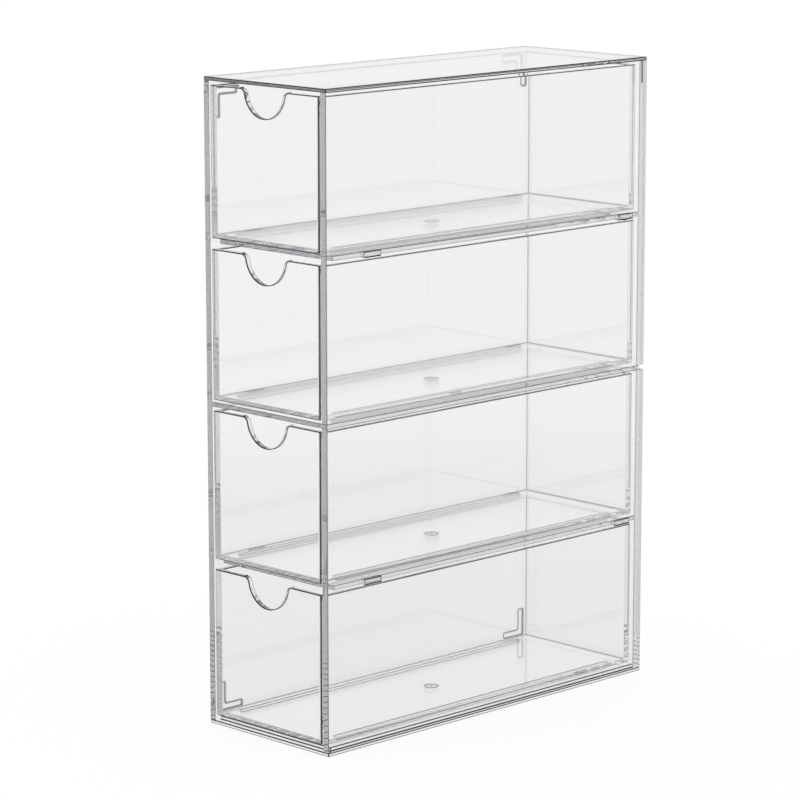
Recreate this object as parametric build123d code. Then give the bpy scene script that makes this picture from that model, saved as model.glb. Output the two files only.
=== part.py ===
from build123d import *
import os

# Clear acrylic tower with four pull-out drawers, built from bonded panels.
# Millimetres. +Z is up, the drawers open towards -Y, and the origin is the
# centre of the footprint on the table.

# Overall size
overall_width = 67.0  # left to right, over the stacking feet on the left panel
overall_depth = 175.0
overall_height = 250.0

# Case panels
side_thickness = 3.0
back_thickness = 2.6
top_thickness = 1.5
base_thickness = 1.5
floor_step = 1.5  # the base rises by this much between the panels that stand on it
floor_setback = 2.5  # front edge of the raised floor, behind the case front
shelf_thickness = 1.8
shelf_setback = 4.8  # front edge of the lower and upper shelf, behind the case front
bond_line = 0.05  # solvent film left between two bonded panels
eased_edge = 0.4  # polished radius on the outer edges of the panels

# Tabs that locate a shelf in slots of the side panels
tab_length = 8.5
front_tab_distance = 23.4  # case front to the middle of the front tab
rear_tab_distance = 12.0  # case rear to the middle of the rear tab
tab_clearance = 0.05

# L-shaped stacking feet, one in each corner of the left panel
foot_height = 0.8
foot_width = 2.8
foot_leg = 11.5
foot_margin = 4.3  # from the panel's edges to the feet
foot_corner_radius = 0.7

# Drawers
side_gap = 0.7  # drawer to side panel, each side
rear_gap = 1.7  # drawer to back panel
head_gap = 1.45  # drawer rim to the plate above it
rest_gap = 0.05  # runner to the plate below it
front_wall = 2.2
side_wall = 2.0
rear_wall = 1.8
floor_wall = 1.4
outer_corner_radius = 0.6
outer_bottom_radius = 0.8
inner_corner_radius = 0.5
inner_bottom_radius = 0.5

# Finger notch in the drawer front
notch_radius = 10.5
notch_shoulder_radius = 2.5

# Runners and gate mark under the drawer floor
runner_height = 0.85
runner_width = 2.0
runner_inset = 5.0  # drawer side to the middle of a runner
runner_end_inset = 9.0  # drawer front and rear to the ends of a runner
gate_ring_radius = 4.0
gate_ring_width = 0.6
gate_ring_height = 0.25

# Names of the drawers and of the shelves between them, from the table up
drawer_names = ["bottom_drawer", "lower_drawer", "upper_drawer", "top_drawer"]
shelf_names = ["lower_shelf", "middle_shelf", "upper_shelf"]

# Planes of the case
right_face = overall_width / 2
left_face = -overall_width / 2 + foot_height
front_face = -overall_depth / 2
rear_face = overall_depth / 2
right_inner = right_face - side_thickness
left_inner = left_face + side_thickness
rear_inner = rear_face - back_thickness
top_underside = overall_height - top_thickness
upright_foot = base_thickness + bond_line
centre_x = (left_face + right_face) / 2

# Heights of the tiers
base_top = base_thickness + floor_step
bay_height = (top_underside - base_top - len(shelf_names) * shelf_thickness) / len(drawer_names)
tier_pitch = bay_height + shelf_thickness
middle_underside = base_top + 2 * tier_pitch - shelf_thickness

# Size of a drawer
drawer_width = right_inner - left_inner - 2 * side_gap
drawer_depth = rear_inner - rear_gap - front_face
drawer_height = bay_height - head_gap - runner_height - rest_gap


def plate(x_span, y_span, z_span):
    """A flat plate that fills three spans."""
    spans = (x_span, y_span, z_span)
    middle = [(low + high) / 2 for low, high in spans]
    return Pos(*middle) * Box(*[high - low for low, high in spans])


def front_edges(solid):
    """The upright edges of a solid's frontmost face."""
    return solid.faces().sort_by(Axis.Y)[0].edges().filter_by(Axis.Z)


def tab_middles():
    """Where along the depth the shelf tabs and their slots are."""
    return [front_face + front_tab_distance, rear_face - rear_tab_distance]


def tab_slots(x_span, shelf_undersides):
    """Through slots for the tabs of the shelves at these heights."""
    half = tab_length / 2 + tab_clearance
    return [
        plate(x_span, (y - half, y + half), (z - tab_clearance, z + shelf_thickness + tab_clearance))
        for z in shelf_undersides
        for y in tab_middles()
    ]


def stacking_feet():
    """Four L-shaped feet on the left face, mirrored from the one at the front of the base."""
    corner_y = front_face + foot_margin
    corner_z = foot_margin
    x_span = (left_face - foot_height, left_face)
    along = plate(x_span, (corner_y, corner_y + foot_leg), (corner_z, corner_z + foot_width))
    upright = plate(x_span, (corner_y, corner_y + foot_width), (corner_z, corner_z + foot_leg))
    foot = along + upright
    foot = fillet(foot.edges().filter_by(Axis.X), foot_corner_radius)
    pair = [foot, mirror(foot, Plane.XZ)]
    return pair + [mirror(one, Plane.XY.offset(overall_height / 2)) for one in pair]


def left_panel(shelf_undersides):
    """The full-height left side with its tab slots and four stacking feet."""
    panel = plate((left_face, left_inner), (front_face, rear_face), upright_span)
    panel = fillet(front_edges(panel), eased_edge)
    panel -= tab_slots((left_face, left_inner), shelf_undersides)
    return panel + stacking_feet()


def right_panel(z_span, shelf_underside):
    """One of the two right sides, which stop at the exposed edge of the middle shelf."""
    panel = plate((right_inner, right_face), (front_face, rear_face), z_span)
    panel = fillet(front_edges(panel), eased_edge)
    return panel - tab_slots((right_inner, right_face), [shelf_underside])


def top_panel():
    """The lid plate, which covers the ends of all the upright panels."""
    panel = plate((left_face, right_face), (front_face, rear_face), (top_underside, overall_height))
    rim = panel.faces().sort_by(Axis.Z)[-1].edges()
    return fillet(panel.edges().filter_by(Axis.Z) + rim, eased_edge)


def base_panel():
    """The base plate under all the upright panels, with a raised floor that locates them."""
    footing = plate((left_face, right_face), (front_face, rear_face), (0, base_thickness))
    rim = footing.faces().sort_by(Axis.Z)[0].edges()
    footing = fillet(footing.edges().filter_by(Axis.Z) + rim, eased_edge)
    x_span = (left_inner + bond_line, right_inner - bond_line)
    y_span = (front_face + floor_setback, rear_inner - bond_line)
    return footing + plate(x_span, y_span, (base_thickness, base_top))


def back_panel():
    """The rear plate between the side panels."""
    x_span = (left_inner + bond_line, right_inner - bond_line)
    return plate(x_span, (rear_inner, rear_face), upright_span)


def tabbed_shelf(underside):
    """A shelf behind the case front, with two tabs in each side panel."""
    x_span = (left_inner + bond_line, right_inner - bond_line)
    y_span = (front_face + shelf_setback, rear_inner - bond_line)
    shelf = plate(x_span, y_span, (underside, underside + shelf_thickness))
    for y in tab_middles():
        tab_span = (y - tab_length / 2, y + tab_length / 2)
        shelf += plate((left_face, right_face), tab_span, (underside, underside + shelf_thickness))
    return shelf


def exposed_shelf(underside):
    """The middle shelf, flush with the case front and with the right face."""
    y_span = (front_face, rear_inner - bond_line)
    shelf = plate((left_inner + bond_line, right_face), y_span, (underside, underside + shelf_thickness))
    for y in tab_middles():
        tab_span = (y - tab_length / 2, y + tab_length / 2)
        shelf += plate((left_face, centre_x), tab_span, (underside, underside + shelf_thickness))
    return shelf


def finger_notch():
    """The half-round notch with rounded shoulders, as a cutter through the drawer front."""
    mouth = 2 * (notch_radius + 2 * notch_shoulder_radius)
    outline = Pos(0, notch_radius) * Rectangle(mouth, 2 * notch_radius) + Circle(notch_radius)
    shoulders = outline.vertices().sort_by_distance((0, 0, 0))[:2]
    outline = fillet(shoulders, notch_shoulder_radius)
    return extrude(outline, front_wall + inner_corner_radius, both=True)


def gate_mark():
    """The ring and the sprue point that moulding leaves under the floor."""
    ring = Circle(gate_ring_radius) - Circle(gate_ring_radius - gate_ring_width)
    return extrude(ring + Circle(gate_ring_width), gate_ring_height)


def drawer():
    """One moulded drawer, centred across the case, its floor's underside at z = 0."""
    rear_y = front_face + drawer_depth
    middle_y = (front_face + rear_y) / 2
    x_low, x_high = centre_x - drawer_width / 2, centre_x + drawer_width / 2
    body = plate((x_low, x_high), (front_face, rear_y), (0, drawer_height))
    body = fillet(body.edges().filter_by(Axis.Z), outer_corner_radius)
    body = fillet(body.faces().sort_by(Axis.Z)[0].edges(), outer_bottom_radius)

    inside_x = (x_low + side_wall, x_high - side_wall)
    inside_y = (front_face + front_wall, rear_y - rear_wall)
    hollow = plate(inside_x, inside_y, (floor_wall, drawer_height + inner_bottom_radius))
    hollow = fillet(hollow.edges().filter_by(Axis.Z), inner_corner_radius)
    hollow = fillet(hollow.faces().sort_by(Axis.Z)[0].edges(), inner_bottom_radius)
    body -= hollow

    rim_middle = Plane(origin=(centre_x, front_face, drawer_height), x_dir=(1, 0, 0), z_dir=(0, -1, 0))
    body -= rim_middle * finger_notch()

    runner_length = drawer_depth - 2 * runner_end_inset
    runner = extrude(Rot(Z=90) * SlotOverall(runner_length, runner_width), -runner_height)
    for x in (x_low + runner_inset, x_high - runner_inset):
        body += Pos(x, middle_y, 0) * runner
    return body + Pos(centre_x, middle_y, -gate_ring_height) * gate_mark()


shelf_undersides = [base_top + bay_height + n * tier_pitch for n in range(len(shelf_names))]
upright_span = (upright_foot, top_underside - bond_line)
lower_right_span = (upright_foot, middle_underside - bond_line)
upper_right_span = (middle_underside + shelf_thickness + bond_line, top_underside - bond_line)

parts = {
    "top_panel": top_panel(),
    "base_panel": base_panel(),
    "back_panel": back_panel(),
    "left_panel": left_panel(shelf_undersides),
    "right_lower_panel": right_panel(lower_right_span, shelf_undersides[0]),
    "right_upper_panel": right_panel(upper_right_span, shelf_undersides[-1]),
}
for name, underside in zip(shelf_names, shelf_undersides):
    parts[name] = exposed_shelf(underside) if name == "middle_shelf" else tabbed_shelf(underside)

tub = drawer()
for tier, name in enumerate(drawer_names):
    floor_underside = base_top + tier * tier_pitch + rest_gap + runner_height
    parts[name] = Pos(0, 0, floor_underside) * tub

os.makedirs("parts", exist_ok=True)
for name, solid in parts.items():
    solid.label = name
    export_step(solid, f"parts/{name}.step")
    size = solid.bounding_box().size
    print(f"{name}: {size.X:.2f} x {size.Y:.2f} x {size.Z:.2f} mm, {solid.volume / 1000:.2f} cm3")
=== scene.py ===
# %% [markdown]
# # A clear acrylic tower with four drawers
# The object is a slim case of clear acrylic sheet with four moulded drawers, each with a half-round
# finger notch. There is no colour in it. What the eye reads is light: pale panels, grey polished
# edges, and thin dark lines where a rounded edge bends the view away. So each panel is a piece of
# its own with small rounded edges, the light is set up as for photographing glass, and the dark
# lines are deepened by painted shade in the colour of those edges.

# %% Load the imported frame
import math
import bmesh
import bpy
from mathutils import Matrix, Vector


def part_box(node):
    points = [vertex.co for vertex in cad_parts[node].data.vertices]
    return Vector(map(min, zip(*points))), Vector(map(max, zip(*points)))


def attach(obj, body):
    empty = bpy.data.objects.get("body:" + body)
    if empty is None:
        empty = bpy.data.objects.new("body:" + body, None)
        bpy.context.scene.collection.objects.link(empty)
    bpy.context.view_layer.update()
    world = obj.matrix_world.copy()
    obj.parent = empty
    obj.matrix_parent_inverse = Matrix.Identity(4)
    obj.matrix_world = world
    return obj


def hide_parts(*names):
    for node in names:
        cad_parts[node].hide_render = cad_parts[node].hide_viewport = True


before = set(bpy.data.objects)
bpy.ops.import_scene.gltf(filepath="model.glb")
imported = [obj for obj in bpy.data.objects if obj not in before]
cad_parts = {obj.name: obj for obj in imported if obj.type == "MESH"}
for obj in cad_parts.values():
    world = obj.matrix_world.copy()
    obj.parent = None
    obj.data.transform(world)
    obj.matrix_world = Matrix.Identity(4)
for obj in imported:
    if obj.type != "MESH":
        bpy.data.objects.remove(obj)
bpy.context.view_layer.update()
print("nodes:", sorted(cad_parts))

# %% [markdown]
# ## Camera
# The tower was seen from its front right corner with a long lens, a little from above. The place,
# the turn and the focal length were worked out from the upright and the receding edges of the
# tower, whose real size is known. A long lens keeps the uprights almost parallel.

# %% Put the camera at the view of the photograph
SENSOR = 36.0  # millimetres
PICTURE = 800  # pixels across
FOCAL_PIXELS = 3558.7
STANDPOINT = (0.9617, -0.9687, 0.383)  # metres
yaw = math.radians(45.29)
pitch = math.radians(10.928)
roll = math.radians(-0.04)

forward = Vector(
    (-math.sin(yaw) * math.cos(pitch), math.cos(yaw) * math.cos(pitch), -math.sin(pitch))
)
level_right = Vector((math.cos(yaw), math.sin(yaw), 0))
level_up = level_right.cross(forward)
right = math.cos(roll) * level_right + math.sin(roll) * level_up
up = math.cos(roll) * level_up - math.sin(roll) * level_right

lens = bpy.data.cameras.new("camera")
lens.sensor_width = SENSOR
lens.lens = FOCAL_PIXELS / PICTURE * SENSOR
lens.clip_start = 0.05
lens.clip_end = 50
camera = bpy.data.objects.new("camera", lens)
place = Matrix((right, up, -forward)).transposed().to_4x4()
place.translation = Vector(STANDPOINT)
camera.matrix_world = place
scene = bpy.context.scene
scene.collection.objects.link(camera)
scene.camera = camera
print(f"camera: {lens.lens:.1f} mm lens")

# %% [markdown]
# ## One helper for nodes
# A material is a small tree of nodes. This helper adds one node, sets its options, and fills or
# links its inputs, so a material reads as a short list from the coordinates to the shader.

# %% Helpers for nodes and colours
def add(tree, kind, inputs=None, **options):
    """Adds a node with its options. An input given a socket is linked, and any other is set."""
    node = tree.nodes.new(kind)
    for option, value in options.items():
        setattr(node, option, value)
    for name, value in (inputs or {}).items():
        if isinstance(value, bpy.types.NodeSocket):
            tree.links.new(value, node.inputs[name])
        else:
            node.inputs[name].default_value = value
    return node


def linear(code):
    """An sRGB hex colour as the linear colour that a shader works in."""
    shares = [int(code[i:i + 2], 16) / 255 for i in (1, 3, 5)]
    return [s / 12.92 if s <= 0.04045 else ((s + 0.055) / 1.055) ** 2.4 for s in shares] + [1]


def empty_tree(owner):
    """The node tree of a material or world, with nothing in it."""
    owner.use_nodes = True
    owner.node_tree.nodes.clear()
    return owner.node_tree


WHITE = linear("#ffffff")
MM = 0.001  # one millimetre in Blender's metres
print("white is", WHITE)

# %% [markdown]
# ## Light through a stack of clear plates
# Light that enters a sheet at its edge runs along it and bounces from face to face, thirty times or
# more before it leaves. Cut short, such a path turns black, so the number of bounces is high.

# %% Allow long light paths
scene.view_settings.view_transform = "Standard"
LONG_PATH = 160
scene.cycles.max_bounces = LONG_PATH
scene.cycles.transmission_bounces = LONG_PATH
scene.cycles.glossy_bounces = LONG_PATH
scene.cycles.transparent_max_bounces = 24
print("bounces:", scene.cycles.max_bounces)

# %% [markdown]
# ## The surroundings
# Glass and clear plastic show what stands round them. A photographer of glass puts white cards on
# all sides with darker gaps between them: the flat faces see the cards and stay bright, while a
# rounded edge sweeps past a gap and draws a line. The world does the same here. It is white to
# the camera and plain soft light to everything else, and only rays that come through or off the
# acrylic see the cards. Above the cards it is dimmer, as above a table with light from the sides,
# and straight overhead hangs a pale ceiling, which keeps the view from above clear.

# %% Cards and gaps round the table
CARDS = 8  # one card every 45 degrees
CARD_EDGE = (-0.1, 0.45)  # from -1, amid a gap, to 1, amid a card: where a card starts and is full
CARD_LIGHT = 0.9
GAP_LIGHT = 0.78
HEIGHT_OF_CARDS = (0.3, 0.45)  # as a share of straight up, where a card starts to fade and is gone
DIM_SHARE = 0.55  # what is left of the light of the cards above them
CEILING = (0.8, 0.92)  # as a share of straight up, where the ceiling starts to show and is full
CEILING_LIGHT = 0.7
SOFT_LIGHT = 0.95  # the light on all that isn't seen through the acrylic

world = bpy.data.worlds.new("cards_round_the_table")
scene.world = world
tree = empty_tree(world)
direction = add(tree, "ShaderNodeTexCoord").outputs["Generated"]
axes = add(tree, "ShaderNodeSeparateXYZ", {"Vector": direction}).outputs
turn = add(tree, "ShaderNodeMath", {0: axes["Y"], 1: axes["X"]}, operation="ARCTAN2").outputs[0]
turns = add(tree, "ShaderNodeMath", {0: turn, 1: CARDS}, operation="MULTIPLY").outputs[0]
wave = add(tree, "ShaderNodeMath", {0: turns}, operation="COSINE").outputs[0]
card = add(
    tree, "ShaderNodeMapRange",
    {"Value": wave, "From Min": CARD_EDGE[0], "From Max": CARD_EDGE[1],
     "To Min": GAP_LIGHT, "To Max": CARD_LIGHT},
    interpolation_type="SMOOTHSTEP",
).outputs[0]
low_light = add(
    tree, "ShaderNodeMapRange",
    {"Value": axes["Z"], "From Min": HEIGHT_OF_CARDS[0], "From Max": HEIGHT_OF_CARDS[1],
     "To Min": 1.0, "To Max": DIM_SHARE},
    interpolation_type="SMOOTHSTEP",
).outputs[0]
lit_card = add(tree, "ShaderNodeMath", {0: card, 1: low_light}, operation="MULTIPLY").outputs[0]
ceiling = add(
    tree, "ShaderNodeMapRange",
    {"Value": axes["Z"], "From Min": CEILING[0], "From Max": CEILING[1],
     "To Min": 0.0, "To Max": CEILING_LIGHT},
    interpolation_type="SMOOTHSTEP",
).outputs[0]
seen = add(tree, "ShaderNodeMath", {0: lit_card, 1: ceiling}, operation="MAXIMUM").outputs[0]
path = add(tree, "ShaderNodeLightPath").outputs
through = add(
    tree, "ShaderNodeMath", {0: path["Is Glossy Ray"], 1: path["Is Transmission Ray"]},
    operation="MAXIMUM",
).outputs[0]
soft_light = add(
    tree, "ShaderNodeBackground", {"Color": WHITE, "Strength": SOFT_LIGHT}
).outputs[0]
cards = add(tree, "ShaderNodeBackground", {"Color": seen, "Strength": 1.0}).outputs[0]
backdrop = add(tree, "ShaderNodeBackground", {"Color": WHITE, "Strength": 1.0}).outputs[0]
unseen = add(tree, "ShaderNodeMixShader", {0: through, 1: soft_light, 2: cards}).outputs[0]
all_round = add(
    tree, "ShaderNodeMixShader", {0: path["Is Camera Ray"], 1: unseen, 2: backdrop}
).outputs[0]
add(tree, "ShaderNodeOutputWorld", {"Surface": all_round})
print("world:", len(tree.nodes), "nodes")

# %% [markdown]
# ## The table
# A large pale floor. It keeps a trace of the tower's shadow, and looks white to the camera and
# through the acrylic. Further out it lets go of the light that has come through the acrylic, which
# then reaches the cards instead: an endless white floor would fill every dark line.

# %% Floor
TABLE_SIZE = 60  # metres
TABLE_REACH = (0.35, 0.6)  # metres from the tower, where the table starts to fade and is gone
WHITENED = 0.88  # share of the floor's look that is plain white, the rest is lit and shaded
PAPER_WHITE = (0.85, 1.03)  # the plain white, seen by way of the acrylic and by the camera

bpy.ops.object.select_all(action="DESELECT")
bpy.ops.mesh.primitive_plane_add(size=TABLE_SIZE)
table = bpy.context.object
table.name = "table"
paper = bpy.data.materials.new("white_paper_sweep")
tree = empty_tree(paper)
path = add(tree, "ShaderNodeLightPath").outputs
seen_through = add(
    tree, "ShaderNodeMath", {0: path["Is Glossy Ray"], 1: path["Is Transmission Ray"]},
    operation="MAXIMUM",
).outputs[0]
seen_at_all = add(
    tree, "ShaderNodeMath", {0: seen_through, 1: path["Is Camera Ray"]}, operation="MAXIMUM"
).outputs[0]
whitening = add(
    tree, "ShaderNodeMath", {0: seen_at_all, 1: WHITENED}, operation="MULTIPLY"
).outputs[0]
lit_paper = add(tree, "ShaderNodeBsdfDiffuse", {"Color": linear("#f3f3f3")}).outputs[0]
white_level = add(
    tree, "ShaderNodeMapRange",
    {"Value": path["Is Camera Ray"], "To Min": PAPER_WHITE[0], "To Max": PAPER_WHITE[1]},
).outputs[0]
plain_white = add(tree, "ShaderNodeEmission", {"Color": WHITE, "Strength": white_level}).outputs[0]
near_paper = add(
    tree, "ShaderNodeMixShader", {0: whitening, 1: lit_paper, 2: plain_white}
).outputs[0]
spot = add(tree, "ShaderNodeTexCoord").outputs["Object"]
distance = add(tree, "ShaderNodeVectorMath", {0: spot}, operation="LENGTH").outputs["Value"]
fading = add(
    tree, "ShaderNodeMapRange",
    {"Value": distance, "From Min": TABLE_REACH[0], "From Max": TABLE_REACH[1]},
    interpolation_type="SMOOTHSTEP",
).outputs[0]
not_camera = add(
    tree, "ShaderNodeMath", {0: 1.0, 1: path["Is Camera Ray"]}, operation="SUBTRACT"
).outputs[0]
open_share = add(
    tree, "ShaderNodeMath", {0: fading, 1: not_camera}, operation="MULTIPLY"
).outputs[0]
nothing = add(tree, "ShaderNodeBsdfTransparent").outputs[0]
sweep = add(tree, "ShaderNodeMixShader", {0: open_share, 1: near_paper, 2: nothing}).outputs[0]
add(tree, "ShaderNodeOutputMaterial", {"Surface": sweep})
table.data.materials.append(paper)
print("table:", table.name)

# %% [markdown]
# ## Clear acrylic
# Both finishes are PMMA, with an index of refraction of 1.49. A see-through film would render
# quicker, but only a closed solid gathers light at its edges as real sheet does. The clear body
# takes a little light on long ways, mostly from the warm end, and so the edges look grey with a
# touch of lavender. A rounded edge bends the view to the dark of a room, and that dark is also
# painted: a dark grey mixed into the base colour of the edge, a painted dark refraction. How much
# of it a face gets is a number on the face: up to 1 it darkens the light that enters there, and
# what it has beyond 1 darkens the light that reaches the edge from within.

# %% The clear body of both finishes
PMMA_IOR = 1.49
SHADE = (0.0, 0.02, 0.085, 1)  # what is left of the light after a long way through the plastic
# Painted shade: the dark grey painted into rounded edges, in place of the dark they refract.
PAINTED_SHADE_GREY = "#08080b"


def clear_acrylic(name, density):
    """A clear body that darkens with the way through it, with painted shade on its rounded edges.
    Returns finish, tree, shader and spot.
    """
    finish = bpy.data.materials.new(name)
    tree = empty_tree(finish)
    spot = add(tree, "ShaderNodeTexCoord").outputs["Object"]
    # The number on each face says how much painted shade its base colour takes, a painted dark
    # refraction.
    painted_edge_dark = add(tree, "ShaderNodeAttribute", attribute_name="painted_edge_dark").outputs["Fac"]
    from_within = add(tree, "ShaderNodeNewGeometry").outputs["Backfacing"]
    painted_darkness = add(
        tree, "ShaderNodeMath", {0: painted_edge_dark, 1: from_within}, operation="SUBTRACT", use_clamp=True
    ).outputs[0]
    # Inputs 6 and 7 and output 2 of a Mix node are the ones for colours.
    painted_tint = add(
        tree, "ShaderNodeMix", {"Factor": painted_darkness, 6: WHITE, 7: linear(PAINTED_SHADE_GREY)},
        data_type="RGBA",
    ).outputs[2]
    shader = add(
        tree, "ShaderNodeBsdfPrincipled",
        {"Base Color": painted_tint, "Roughness": 0.0, "IOR": PMMA_IOR, "Transmission Weight": 1.0},
    )
    depth = add(tree, "ShaderNodeVolumeAbsorption", {"Color": SHADE, "Density": density})
    add(
        tree, "ShaderNodeOutputMaterial",
        {"Surface": shader.outputs[0], "Volume": depth.outputs[0]},
    )
    return finish, tree, shader, spot


print("index of refraction:", PMMA_IOR)

# %% [markdown]
# ## Cast sheet for the case
# The case is cut from cast sheet and its edges are polished. Casting leaves the sheet very slightly
# wavy, which a soft noise in a Bump node gives without one extra face. Cleaning adds a few hair
# scratches, which blur a reflection by a trace. They are a stretched noise in the roughness, drawn
# coarser than real ones, which are too fine to show.

# %% Cast acrylic sheet
SHEET_DENSITY = 3.6  # how fast the sheet takes light, per metre
WAVE_LENGTH = 30 * MM
WAVE_HEIGHT = 0.0006 * MM
SCRATCH_SPACING = 0.8 * MM
SCRATCH_STRETCH = 30  # how many times longer than wide a scratch is
SCRATCH_TURN = (0.3, 0.2, 0.5)  # radians, so that no scratch runs along an edge
SCRATCH_RARITY = (0.72, 0.82)  # of the noise's height, where a scratch starts and is full
SCRATCH_BLUR = 0.012

cast_sheet, tree, shader, spot = clear_acrylic("cast_acrylic_sheet", SHEET_DENSITY)
waviness = add(
    tree, "ShaderNodeTexNoise", {"Vector": spot, "Scale": 1 / WAVE_LENGTH, "Detail": 1.0}
).outputs[0]
surface = add(
    tree, "ShaderNodeBump", {"Height": waviness, "Strength": 1.0, "Distance": WAVE_HEIGHT}
)
tree.links.new(surface.outputs[0], shader.inputs["Normal"])
lengthwise = add(
    tree, "ShaderNodeMapping",
    {"Vector": spot, "Rotation": SCRATCH_TURN, "Scale": (1, 1, 1 / SCRATCH_STRETCH)},
).outputs[0]
scratches = add(
    tree, "ShaderNodeTexNoise", {"Vector": lengthwise, "Scale": 1 / SCRATCH_SPACING, "Detail": 2.0}
).outputs[0]
haze = add(
    tree, "ShaderNodeMapRange",
    {"Value": scratches, "From Min": SCRATCH_RARITY[0], "From Max": SCRATCH_RARITY[1],
     "To Min": 0.0, "To Max": SCRATCH_BLUR},
).outputs[0]
tree.links.new(haze, shader.inputs["Roughness"])
print("finish of the case:", cast_sheet.name)

# %% [markdown]
# ## Moulded acrylic for the drawers
# The drawers are injection moulded. The plastic flowed out from a gate in the middle of the floor
# and left very faint rings round it. A wave texture draws them, once a Mapping node has put its
# centre on the gate. The walls are thinner and clearer than the sheet.

# %% Moulded acrylic
MOULDED_DENSITY = 1.6
GATE = (0.4, -2.15)  # millimetres, the middle of every drawer's floor
RING_SPACING = 9 * MM
RING_HEIGHT = 0.0004 * MM
TEXTURE_TURN = 20  # radians that a wave texture turns by in one unit

moulded, tree, shader, spot = clear_acrylic("moulded_acrylic", MOULDED_DENSITY)
round_the_gate = add(
    tree, "ShaderNodeMapping", {"Vector": spot, "Location": (-GATE[0] * MM, -GATE[1] * MM, 0)}
).outputs[0]
rings = add(
    tree, "ShaderNodeTexWave",
    {"Vector": round_the_gate, "Scale": 2 * math.pi / (TEXTURE_TURN * RING_SPACING),
     "Distortion": 1.5, "Detail": 1.0},
    wave_type="RINGS", rings_direction="Z",
).outputs["Fac"]
surface = add(tree, "ShaderNodeBump", {"Height": rings, "Strength": 1.0, "Distance": RING_HEIGHT})
tree.links.new(surface.outputs[0], shader.inputs["Normal"])
print("finish of the drawers:", moulded.name)

# %% [markdown]
# ## Tools of the bench
# A flat piece starts as a cube of its size at its place, and is split, pulled and cut in edit mode
# or with a boolean modifier. These few helpers do the steps that come back with every piece.

# %% Helpers for modelling
HAIR = 0.01 * MM  # lengths that differ by less are the same
ON_CUT = 0.001 * MM  # a corner that is nearer to a cut lies on it, and no new one is made beside it
FACING = 0.9  # a normal that goes along an axis by more faces that way
SLOTS = range(4)  # material slots that tell the faces of a piece apart while it is made
FLAT, EDGE, OUTER_CORNER, INNER_CORNER = SLOTS


def one_active(piece):
    """Makes a piece the only selected one."""
    bpy.ops.object.select_all(action="DESELECT")
    piece.select_set(True)
    bpy.context.view_layer.objects.active = piece


def block(name, low, high):
    """A cube that fills the space between two corners in millimetres, its place in its mesh."""
    bpy.ops.object.select_all(action="DESELECT")
    middle = [(a + b) / 2 * MM for a, b in zip(low, high)]
    size = [(b - a) * MM for a, b in zip(low, high)]
    bpy.ops.mesh.primitive_cube_add(size=1, location=middle, scale=size)
    bpy.ops.object.transform_apply()
    piece = bpy.context.object
    piece.name = name
    for _ in SLOTS:
        piece.data.materials.append(cast_sheet)
    return piece


def near(a, b):
    """Two lengths in metres are the same to a hundredth of a millimetre."""
    return abs(a - b) < HAIR


def pick(piece, kind, wanted):
    """In edit mode, selects just the faces, edges or verts that pass a test, and counts them."""
    bpy.ops.mesh.select_mode(type={"faces": "FACE", "edges": "EDGE", "verts": "VERT"}[kind])
    bpy.ops.mesh.select_all(action="DESELECT")
    mesh = bmesh.from_edit_mesh(piece.data)
    chosen = [element for element in getattr(mesh, kind) if wanted(element)]
    for element in chosen:
        element.select_set(True)
    bmesh.update_edit_mesh(piece.data)
    return len(chosen)


def pull(direction, length):
    """In edit mode, extrudes what is picked by a length in millimetres."""
    move = [share * length * MM for share in direction]
    bpy.ops.mesh.extrude_region_move(TRANSFORM_OT_translate={"value": move})


def split(piece, axis, places):
    """In edit mode, cuts a piece across an axis at places in millimetres, and leaves it whole."""
    normal = Vector((0, 0, 0))
    normal[axis] = 1
    for place in places:
        bpy.ops.mesh.select_all(action="SELECT")
        bpy.ops.mesh.bisect(plane_co=normal * place * MM, plane_no=normal, threshold=ON_CUT)


def combine(piece, other, operation):
    """Cuts another piece out of this one or melts it onto this one, and removes the other."""
    one_active(piece)
    boolean = piece.modifiers.new("combine", "BOOLEAN")
    boolean.operation = operation
    boolean.solver = "EXACT"
    boolean.object = other
    bpy.ops.object.modifier_apply(modifier=boolean.name)
    bpy.data.objects.remove(other)


def span(node):
    """Lowest and highest corner of a CAD node in millimetres."""
    low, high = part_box(node)
    return [v / MM for v in low], [v / MM for v in high]


print("modelling helpers ready")

# %% [markdown]
# ## Polished edges
# A last bevel rounds the sharp edges by a few tenths, as polishing and moulds do. Only the ends of
# an upright that are bonded to the top and the base stay sharp, because the film of solvent fills
# them. Weighted normals then keep the large faces truly flat, so only the rounded edges bend the
# light, and each face gets the number for the painted shade in its colour, which stands in for the
# dark that a rounded edge refracts.

# %% Round the edges and mark how dark they are
SHARP = math.radians(40)  # an edge that turns by more is a sharp one
PAINTED_SHADE_SHARE = {FLAT: 0.0, EDGE: 1.0, OUTER_CORNER: 1.6, INNER_CORNER: 0.6}  # how much painted shade each face takes
PAINTED_DARK_WITHIN = 2.0  # the painted shade of an edge that is painted dark from within the plastic too
UPRIGHT_PAINTED_SHARE = 0.6  # an upright edge bends the view sideways, to the pale cards, so its painted shade is paler
LEVEL = 0.05  # a normal that leans up or down by less is level
REARWARD = 0.2  # a normal that goes to the rear by more belongs to a rear edge


def sheet_edge_painted_shade(face, share):
    """The painted shade of a sheet's edge: paler if upright and not at the rear, clear in the case.
    """
    if abs(face.normal.z) > LEVEL:
        return share
    if face.center.x * face.normal.x < 0:
        return 0.0
    return share if face.normal.y > REARWARD else share * UPRIGHT_PAINTED_SHARE


def cover_edge_painted_shade(face, share):
    """The painted shade of an edge of the top or the base, which is painted dark from within too.
    """
    return PAINTED_DARK_WITHIN * share


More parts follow.
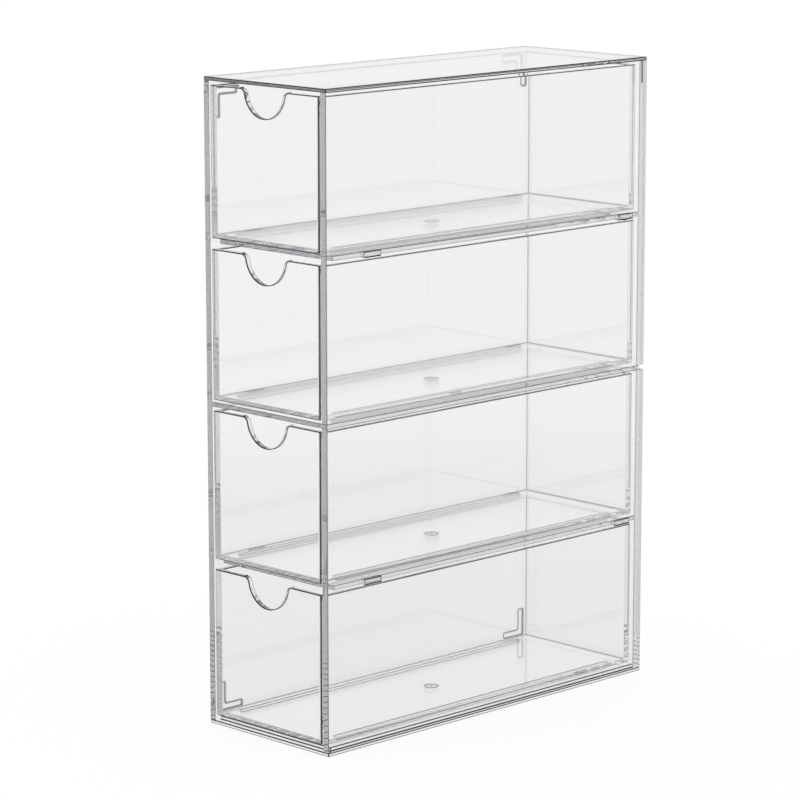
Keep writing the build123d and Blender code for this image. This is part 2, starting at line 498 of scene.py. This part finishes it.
def mark_sharp(piece, bonded_ends):
    """Marks the sharp edges that get rounded: all, or all but those round the bonded ends."""
    mesh = bmesh.new()
    mesh.from_mesh(piece.data)
    heights = [v.co.z for v in mesh.verts]
    ends = (min(heights), max(heights)) if bonded_ends else ()
    weight = mesh.edges.layers.float.new("bevel_weight_edge")
    for edge in mesh.edges:
        in_bond = any(all(near(v.co.z, end) for v in edge.verts) for end in ends)
        edge[weight] = float(edge.calc_face_angle(0) > SHARP and not in_bond)
        edge.smooth = not in_bond
    mesh.to_mesh(piece.data)
    mesh.free()


def polish(piece, radius, steps=4, painted_darkness=sheet_edge_painted_shade, bonded_ends=False):
    """Rounds the sharp edges of a piece by a radius in millimetres, keeps its faces flat, and sets
    the painted shade of each face.
    """
    one_active(piece)
    bpy.ops.object.shade_smooth()
    mark_sharp(piece, bonded_ends)
    bevel = piece.modifiers.new("rounded_edges", "BEVEL")
    bevel.limit_method = "WEIGHT"
    bevel.width = radius * MM
    bevel.segments = steps
    bevel.use_clamp_overlap = False
    bevel.material = EDGE
    bpy.ops.object.modifier_apply(modifier=bevel.name)
    normals = piece.modifiers.new("flat_faces", "WEIGHTED_NORMAL")
    normals.mode = "FACE_AREA"
    normals.weight = 50
    normals.keep_sharp = True
    bpy.ops.object.modifier_apply(modifier=normals.name)
    faces = piece.data.polygons
    # Painted shade: each face's share of the dark grey painted into its colour.
    painted_levels = [painted_darkness(face, PAINTED_SHADE_SHARE[face.material_index]) for face in faces]
    painted_edge_dark = piece.data.attributes.new("painted_edge_dark", "FLOAT", "FACE")
    painted_edge_dark.data.foreach_set("value", painted_levels)
    faces.foreach_set("material_index", [FLAT] * len(faces))


def settle(piece, node, body="case", finish=cast_sheet):
    """Gives a piece its finish, and its place in the frame."""
    piece.data.materials.clear()
    piece.data.materials.append(finish)
    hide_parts(node)
    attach(piece, body)
    print(f"{piece.name}: {len(piece.data.polygons)} faces")


print("edges that turn by more than", round(math.degrees(SHARP)), "degrees are rounded")

# %% [markdown]
# ## Top and back
# The top covers the ends of the uprights, so its rim shows all round. The back sits between the two
# sides. Each is a plain sheet, and all that the eye finds on it is its polished edge. A cube of the
# size of the CAD's solid is enough, because the rounding takes nothing off its outer size.

# %% Top plate and back plate
COVER_RADIUS = 0.4
PANEL_RADIUS = 0.3

top = block("top_plate", *span("top_panel"))
polish(top, COVER_RADIUS, painted_darkness=cover_edge_painted_shade)
settle(top, "top_panel")

back = block("back_plate", *span("back_panel"))
polish(back, PANEL_RADIUS, bonded_ends=True)
settle(back, "back_panel")

# %% [markdown]
# ## Base
# The base covers the lower ends of the uprights and rises between them. This step locates them, and
# the bottom drawer slides on it. An inset of the plate could be pulled up, but the step lies at
# another distance on each side, so a second block makes the raised floor and is melted on.

# %% Base plate
SHEET = 3.0  # side panels
LEFT_FACE, RIGHT_FACE = -32.7, 33.5  # outer faces of the side panels, without the feet
FRONT, REAR = -87.5, 87.5
BACK_SHEET = 2.6
BOND = 0.05  # solvent film between two bonded sheets
FOOTING = 1.5
FLOOR_SETBACK = 2.5
SINK = 0.5  # how far an added block starts inside its piece, so that it melts onto it

low, high = span("base_panel")
base = block("base_plate", low, (high[0], high[1], FOOTING))
raised = block(
    "raised_floor",
    (LEFT_FACE + SHEET + BOND, FRONT + FLOOR_SETBACK, FOOTING - SINK),
    (RIGHT_FACE - SHEET - BOND, REAR - BACK_SHEET - BOND, high[2]),
)
combine(base, raised, "UNION")
polish(base, COVER_RADIUS, painted_darkness=cover_edge_painted_shade)
settle(base, "base_panel")

# %% [markdown]
# ## Shelves
# A shelf carries the drawer above it. It has two tabs on each side that go through slots in the
# side panels and end flush with them. Tabs could be melted on as blocks, but here they grow out of
# the plate, which keeps its faces simple: the plate is split crosswise where the tabs begin and
# end, and the strips of its side between the splits are pulled out.

# %% Shelves with their tabs
TAB_LENGTH = 8.5
TAB_MIDDLES = (FRONT + 23.4, REAR - 12.0)
SHELF_RADIUS = 0.2


def pull_tabs(plate, outwards):
    """Pulls the tabs out of the left side of a shelf, outwards -1, or of its right side, 1."""
    def on_tab(face):
        place = face.calc_center_median().y / MM
        near_tab = any(abs(place - middle) < TAB_LENGTH / 2 for middle in TAB_MIDDLES)
        return near_tab and face.normal.x * outwards > FACING
    count = pick(plate, "faces", on_tab)
    pull((outwards, 0, 0), SHEET + BOND)
    return count


def shelf(name, node, right_tabs):
    """A shelf with tabs on its left, and on its right unless its edge already shows there."""
    low, high = span(node)
    low[0] = LEFT_FACE + SHEET + BOND
    if right_tabs:
        high[0] = RIGHT_FACE - SHEET - BOND
    plate = block(name, low, high)
    bpy.ops.object.mode_set(mode="EDIT")
    for middle in TAB_MIDDLES:
        split(plate, 1, (middle - TAB_LENGTH / 2, middle + TAB_LENGTH / 2))
    tabs = pull_tabs(plate, -1)
    if right_tabs:
        tabs += pull_tabs(plate, 1)
    bpy.ops.object.mode_set(mode="OBJECT")
    polish(plate, SHELF_RADIUS)
    settle(plate, node)
    print(name, "has", tabs, "tabs")


shelf("shelf_lower", "lower_shelf", True)
shelf("shelf_middle", "middle_shelf", False)
shelf("shelf_upper", "upper_shelf", True)

# %% [markdown]
# ## Side panels
# Each side is a sheet with through slots for the tabs, a hair larger than the tabs. A boolean
# modifier would cut them, but bridging keeps four-sided faces, which the bevel rounds cleanly: the
# sheet is split along the ends of the slots, and the two faces of a slot, inside and outside, are
# bridged into a hole. The left side is one full sheet. The right one is in two, because the middle
# shelf comes through to the right face between them.

# %% Side panels with their slots
SLOT_PLAY = 0.05
SHELF_SPANS = {name: span(name) for name in ("lower_shelf", "middle_shelf", "upper_shelf")}


def cut_slots(side, shelves):
    """Cuts the slots of these shelves' tabs through a side panel."""
    half = TAB_LENGTH / 2 + SLOT_PLAY
    lengths = [(middle - half, middle + half) for middle in TAB_MIDDLES]
    spans = [SHELF_SPANS[name] for name in shelves]
    heights = [(low[2] - SLOT_PLAY, high[2] + SLOT_PLAY) for low, high in spans]
    bpy.ops.object.mode_set(mode="EDIT")
    split(side, 1, [end for ends in lengths for end in ends])
    split(side, 2, [end for ends in heights for end in ends])
    for y_low, y_high in lengths:
        for z_low, z_high in heights:
            def on_slot(face):
                middle = face.calc_center_median() / MM
                in_slot = y_low < middle.y < y_high and z_low < middle.z < z_high
                return in_slot and abs(face.normal.x) > FACING
            pick(side, "faces", on_slot)
            bpy.ops.mesh.bridge_edge_loops()
    bpy.ops.mesh.select_all(action="SELECT")
    bpy.ops.mesh.normals_make_consistent(inside=False)
    bpy.ops.object.mode_set(mode="OBJECT")


for name, node, shelves in (
    ("right_side_lower", "right_lower_panel", ["lower_shelf"]),
    ("right_side_upper", "right_upper_panel", ["upper_shelf"]),
):
    side = block(name, *span(node))
    cut_slots(side, shelves)
    polish(side, PANEL_RADIUS, bonded_ends=True)
    settle(side, node)

# %% [markdown]
# ## Left side
# The left side is one sheet with slots for all three shelves. It also carries four low L-shaped
# feet near its corners, for laying or stacking the tower on its side. A few more splits leave a
# flat border round each foot, which keeps the foot's join off the edges of the sheet.

# %% Left side panel
FOOT_LEG = 11.5
FOOT_MARGIN = 4.3
FOOT_BORDER = 2.0
CASE_HEIGHT = 250.0

low, high = span("left_panel")
left_side = block("left_side", (LEFT_FACE, low[1], low[2]), high)
cut_slots(left_side, SHELF_SPANS)
borders = (FOOT_MARGIN - FOOT_BORDER, FOOT_MARGIN + FOOT_LEG + FOOT_BORDER)
bpy.ops.object.mode_set(mode="EDIT")
split(left_side, 1, [FRONT + border for border in borders] + [REAR - border for border in borders])
split(left_side, 2, borders)
split(left_side, 2, [CASE_HEIGHT - border for border in borders])
bpy.ops.object.mode_set(mode="OBJECT")
print("left side:", len(left_side.data.polygons), "faces before its edges are rounded")

# %% [markdown]
# ## Stacking feet
# One foot starts as a small square block whose two faces are pulled out into the legs of the L. Its
# corners are rounded, and an inset sets off the rim of its outer face, which is painted dark: a
# painted shade line round the foot.
# Only one foot is modelled: a mirror modifier sets the other three, so they can't differ, and all
# are melted onto the sheet.

# %% Four stacking feet
FOOT_HEIGHT = 0.8
FOOT_WIDTH = 2.8
FOOT_CORNER = 0.7
FOOT_STEPS = 4
FOOT_RIM = 0.6  # how far the rim reaches into the outer face of a foot, half of it rounded off
FOOT_STRIP_AREA = 10 * MM ** 2  # the flat strips of a rim are smaller, and the outer faces larger
OUTWARD = 0.99  # a normal that goes along an axis by less is on the rounding of a foot

corner = (FRONT + FOOT_MARGIN, FOOT_MARGIN)
foot = block(
    "foot",
    (LEFT_FACE - FOOT_HEIGHT, corner[0], corner[1]),
    (LEFT_FACE + SINK, corner[0] + FOOT_WIDTH, corner[1] + FOOT_WIDTH),
)
square_end = (corner[0] + FOOT_WIDTH) * MM


def is_corner_of_l(edge):
    """The edge runs through the thickness of the foot, at one of its six corners."""
    a, b = (v.co for v in edge.verts)
    return near(a.y, b.y) and near(a.z, b.z) and edge.calc_face_angle(0) > SHARP


bpy.ops.object.mode_set(mode="EDIT")
pick(foot, "faces", lambda face: face.normal.y > FACING)
pull((0, 1, 0), FOOT_LEG - FOOT_WIDTH)
pick(foot, "faces", lambda face: face.normal.z > FACING
     and face.calc_center_median().y < square_end)
pull((0, 0, 1), FOOT_LEG - FOOT_WIDTH)
corners = pick(foot, "edges", is_corner_of_l)
bpy.ops.mesh.bevel(offset=FOOT_CORNER * MM, segments=FOOT_STEPS, affect="EDGES")
pick(foot, "faces", lambda face: face.normal.x < -FACING)
bpy.ops.mesh.dissolve_faces()
bpy.ops.mesh.inset(thickness=FOOT_RIM * MM)
bpy.ops.object.mode_set(mode="OBJECT")

scene.cursor.location = (0, 0, CASE_HEIGHT / 2 * MM)
bpy.ops.object.origin_set(type="ORIGIN_CURSOR")
mirror = foot.modifiers.new("four_corners", "MIRROR")
mirror.use_axis = (False, True, True)
mirror.use_mirror_merge = False
bpy.ops.object.modifier_apply(modifier=mirror.name)
scene.cursor.location = (0, 0, 0)
combine(left_side, foot, "UNION")


def foot_edge_painted_shade(face, share):
    """The painted shade of an edge of the left side: the rims of its feet are painted dark from
    within too.
    """
    on_foot = face.center.x < LEFT_FACE * MM - HAIR
    is_rim = abs(face.normal.x) < OUTWARD or face.area < FOOT_STRIP_AREA
    return PAINTED_DARK_WITHIN if on_foot and is_rim else sheet_edge_painted_shade(face, share)


polish(left_side, PANEL_RADIUS, painted_darkness=foot_edge_painted_shade, bonded_ends=True)
settle(left_side, "left_panel")
print("a foot has", corners, "corners")

# %% [markdown]
# ## The drawer
# A drawer is one moulding: a thin tub with soft corners, a half-round notch in the front wall, and
# two low runners under its floor. A Solidify modifier would give every wall one thickness, but here
# the front is thicker than the sides and the floor is thinner. So a block is inset from above, the
# two ends of the inset are moved, and it is pushed down to leave the walls and the floor.

# %% Walls and floor of the drawer
FRONT_WALL = 2.2
SIDE_WALL = 2.0
REAR_WALL = 1.8
FLOOR_WALL = 1.4
RUNNER_HEIGHT = 0.85

low, high = span("bottom_drawer")
floor_z = low[2] + RUNNER_HEIGHT
centre_x = (low[0] + high[0]) / 2
half_width = (high[0] - low[0]) / 2
tub = block("tub", (low[0], low[1], floor_z), high)


def is_outer(v):
    """The vertex is on the outer faces of the side walls."""
    return near(abs(v.co.x - centre_x * MM), half_width * MM)


def is_inner(v):
    """The vertex is on the inner faces of the side walls."""
    return near(abs(v.co.x - centre_x * MM), (half_width - SIDE_WALL) * MM)


def runs_down(edge):
    """The edge is upright."""
    a, b = (v.co for v in edge.verts)
    return near(a.x, b.x) and near(a.y, b.y)


def rests_at(edge, z):
    """The edge is level at a height."""
    return all(near(v.co.z, z * MM) for v in edge.verts)


def on_inset(edge, y_side):
    """A crosswise edge of the inset, on its front (-1) or rear (1) side."""
    a, b = edge.verts
    return is_inner(a) and is_inner(b) and near(a.co.y, b.co.y) and a.co.y * y_side > 0


bpy.ops.object.mode_set(mode="EDIT")
pick(tub, "faces", lambda face: face.normal.z > FACING)
bpy.ops.mesh.inset(thickness=SIDE_WALL * MM)
for y_side, shift in ((-1, FRONT_WALL - SIDE_WALL), (1, SIDE_WALL - REAR_WALL)):
    pick(tub, "edges", lambda edge: on_inset(edge, y_side))
    bpy.ops.transform.translate(value=(0, shift * MM, 0))
pick(tub, "faces", lambda face: all(is_inner(v) for v in face.verts))
pull((0, 0, 1), floor_z + FLOOR_WALL - high[2])
print(f"the drawer is {high[2] - floor_z - FLOOR_WALL:.2f} mm deep inside")

# %% [markdown]
# ## Soft corners
# A moulding has no sharp corners, because plastic flows badly into them and cracks there. The
# upright corners and those round the floor are bevelled in two sets, outside and inside, each into
# a material slot of its own. The last step reads from these slots how much painted shade a corner
# gets.

# %% Soft corners of the drawer
OUTER_RADIUS = 0.45
INNER_RADIUS = 0.4
CORNER_STEPS = 6

outside = pick(tub, "edges", lambda edge: all(is_outer(v) for v in edge.verts)
               and (runs_down(edge) or rests_at(edge, floor_z)))
bpy.ops.mesh.bevel(
    offset=OUTER_RADIUS * MM, segments=CORNER_STEPS, affect="EDGES", material=OUTER_CORNER
)
inside = pick(tub, "edges", lambda edge: all(is_inner(v) for v in edge.verts)
              and (runs_down(edge) or rests_at(edge, floor_z + FLOOR_WALL)))
bpy.ops.mesh.bevel(
    offset=INNER_RADIUS * MM, segments=CORNER_STEPS, affect="EDGES", material=INNER_CORNER
)
bpy.ops.object.mode_set(mode="OBJECT")
print("tub corners:", outside, "outside and", inside, "inside")

# %% [markdown]
# ## Finger notch
# The notch is a half circle with rounded shoulders, where a finger pulls the drawer out. A cylinder
# could cut the half circle, but would leave sharp shoulders. So the whole outline is drawn by one
# point that is spun round three centres: a shoulder, the notch, the other shoulder.

# %% Draw the outline of the notch
NOTCH_RADIUS = 10.5
SHOULDER_RADIUS = 2.5
NOTCH_STEPS = 40
SHOULDER_STEPS = 8
CUTTER_REACH = 1.0  # how far the cutter stands out before and behind the front wall

shoulder_x = math.sqrt((NOTCH_RADIUS + SHOULDER_RADIUS) ** 2 - SHOULDER_RADIUS ** 2)
dip = math.atan2(SHOULDER_RADIUS, shoulder_x)  # from the notch's centre down to a shoulder's
quarter = math.pi / 2 - dip


def on_cutter(x, z):
    """A point on the front of the cutter, from the middle of the drawer's front rim."""
    return ((centre_x + x) * MM, (low[1] - CUTTER_REACH) * MM, (high[2] + z) * MM)


bpy.ops.object.select_all(action="DESELECT")
bpy.ops.mesh.primitive_plane_add(size=MM, location=on_cutter(shoulder_x, 0))
bpy.ops.object.transform_apply()
cutter = bpy.context.object
bpy.ops.object.mode_set(mode="EDIT")
bpy.ops.mesh.select_mode(type="VERT")
bpy.ops.mesh.select_all(action="SELECT")
bpy.ops.mesh.merge(type="CENTER")
for steps, angle, centre, axis in (
    (SHOULDER_STEPS, quarter, on_cutter(shoulder_x, -SHOULDER_RADIUS), (0, 1, 0)),
    (NOTCH_STEPS, math.pi - 2 * dip, on_cutter(0, 0), (0, -1, 0)),
    (SHOULDER_STEPS, quarter, on_cutter(-shoulder_x, -SHOULDER_RADIUS), (0, 1, 0)),
):
    bpy.ops.mesh.spin(steps=steps, angle=angle, center=centre, axis=axis)
drawn = [v.co.z / MM for v in bmesh.from_edit_mesh(cutter.data).verts]
print(f"notch depth: {high[2] - min(drawn):.2f} mm")

# %% [markdown]
# ## Cutting the notch
# Closed over the top and pulled through the front wall, the outline becomes a solid cutter, and a
# boolean modifier takes it out of the tub. It stands out before, behind and above the wall, because
# two faces in one plane would confuse the boolean.

# %% Cut the notch
CUTTER_RISE = 2.0  # how far the cutter stands out above the rim

pick(cutter, "verts", lambda v: near(v.co.z, high[2] * MM))
pull((0, 0, 1), CUTTER_RISE)
bpy.ops.mesh.select_all(action="SELECT")
bpy.ops.mesh.edge_face_add()
pull((0, 1, 0), FRONT_WALL + 2 * CUTTER_REACH)
bpy.ops.mesh.select_all(action="SELECT")
bpy.ops.mesh.normals_make_consistent(inside=False)
bpy.ops.object.mode_set(mode="OBJECT")
combine(tub, cutter, "DIFFERENCE")
print("tub with its notch:", len(tub.data.polygons), "faces")

# %% [markdown]
# ## Runners
# The drawer slides on two low runners with round ends, which keep its floor off the shelf. Each is
# a bar whose four upright edges are bevelled by half its width, the shortest way to two round ends.
# It starts a little inside the floor, so that the boolean modifier can melt it onto it.

# %% Runners
RUNNER_WIDTH = 2.0
RUNNER_INSET = 5.0
RUNNER_END_INSET = 9.0
RUNNER_STEPS = 5
END_ROUNDING = 0.49  # of the width, a little under half, so that two bevels don't meet

for x in (low[0] + RUNNER_INSET, high[0] - RUNNER_INSET):
    runner = block(
        "runner",
        (x - RUNNER_WIDTH / 2, low[1] + RUNNER_END_INSET, low[2]),
        (x + RUNNER_WIDTH / 2, high[1] - RUNNER_END_INSET, floor_z + SINK),
    )
    bpy.ops.object.mode_set(mode="EDIT")
    pick(runner, "edges", runs_down)
    bpy.ops.mesh.bevel(
        offset=END_ROUNDING * RUNNER_WIDTH * MM, segments=RUNNER_STEPS, affect="EDGES"
    )
    bpy.ops.object.mode_set(mode="OBJECT")
    combine(tub, runner, "UNION")
    print(f"runner at {x:.1f} mm")

# %% [markdown]
# ## Gate mark
# The plastic came in through a gate in the middle of the floor, which leaves a small ring with a
# point in it. A ring in the texture would be flat, and this one catches the light: it is a short
# cylinder under the floor, hollowed by one inset, and a second inset is pulled back down.

# %% Gate mark
RING_RADIUS = 2.8
RING_SIDES = 48
RING_WIDTH = 0.8
RING_DEPTH = 0.25
HOLLOW = 0.8  # of the depth, how far the inside of the ring goes up
POINT = 0.6  # of the depth, how far the point comes down again

gate = (centre_x * MM, (low[1] + high[1]) / 2 * MM, (floor_z + (SINK - RING_DEPTH) / 2) * MM)
bpy.ops.object.select_all(action="DESELECT")
bpy.ops.mesh.primitive_cylinder_add(
    vertices=RING_SIDES, radius=RING_RADIUS * MM, depth=(SINK + RING_DEPTH) * MM, location=gate
)
bpy.ops.object.transform_apply()
ring = bpy.context.object
bpy.ops.object.mode_set(mode="EDIT")
pick(ring, "faces", lambda face: face.normal.z < -FACING)
bpy.ops.mesh.inset(thickness=RING_WIDTH * MM)
bpy.ops.transform.translate(value=(0, 0, HOLLOW * RING_DEPTH * MM))
bpy.ops.mesh.inset(thickness=(RING_RADIUS - 2 * RING_WIDTH) * MM)
bpy.ops.transform.translate(value=(0, 0, -POINT * RING_DEPTH * MM))
bpy.ops.object.mode_set(mode="OBJECT")
combine(tub, ring, "UNION")
print(f"gate mark at {gate[0] / MM:.2f}, {gate[1] / MM:.2f} mm")

# %% [markdown]
# ## Finish the drawer
# The last bevel rounds the rims, as on the sheets, with fewer steps because all four drawers pay
# for its faces. The rims and the gate mark are painted dark from within too, painted shade that
# draws crisp lines. The lower corners along the sides look back at the pale table, and so their
# painted shade is paler than that at the ends.

# %% Round the rims of the drawer
RIM_RADIUS = 0.38
RIM_STEPS = 3
# Painted shade kept on the lower corners along the sides, paler than at the ends.
LONG_CORNER_PAINTED_SHARE = 0.3
RING_BAND = 1.5  # in ring widths, how far from the ring's outside its faces have their middles


def tub_edge_painted_shade(face, share):
    """The painted shade of an edge of the tub."""
    from_gate = math.dist(face.center.xy, gate[:2]) / MM
    on_mark = from_gate < RING_WIDTH or abs(from_gate - RING_RADIUS) < RING_BAND * RING_WIDTH
    if on_mark and face.center.z < floor_z * MM - HAIR:
        return PAINTED_DARK_WITHIN
    if abs(face.normal.z) < LEVEL:
        return share
    if face.material_index == EDGE:
        return PAINTED_DARK_WITHIN
    along_side = abs(face.normal.x) > abs(face.normal.y)
    return LONG_CORNER_PAINTED_SHARE if face.material_index == OUTER_CORNER and along_side else share


polish(tub, RIM_RADIUS, RIM_STEPS, painted_darkness=tub_edge_painted_shade)
print("tub:", len(tub.data.polygons), "faces")

# %% [markdown]
# ## Four drawers
# The four drawers are the same moulding. An Array modifier would stack them as one piece. Instead,
# each is a copy of the tub with a mesh of its own, moved up to its tier, and rides on its own body,
# so that it slides by itself.

# %% Copy the drawer to the four tiers
for tier in ("bottom", "lower", "upper", "top"):
    node = f"{tier}_drawer"
    drawer = tub.copy()
    drawer.data = tub.data.copy()
    drawer.name = f"drawer_{tier}"
    scene.collection.objects.link(drawer)
    rise = span(node)[0][2] - low[2]
    drawer.data.transform(Matrix.Translation((0, 0, rise * MM)))
    settle(drawer, node, node, moulded)
bpy.data.objects.remove(tub)
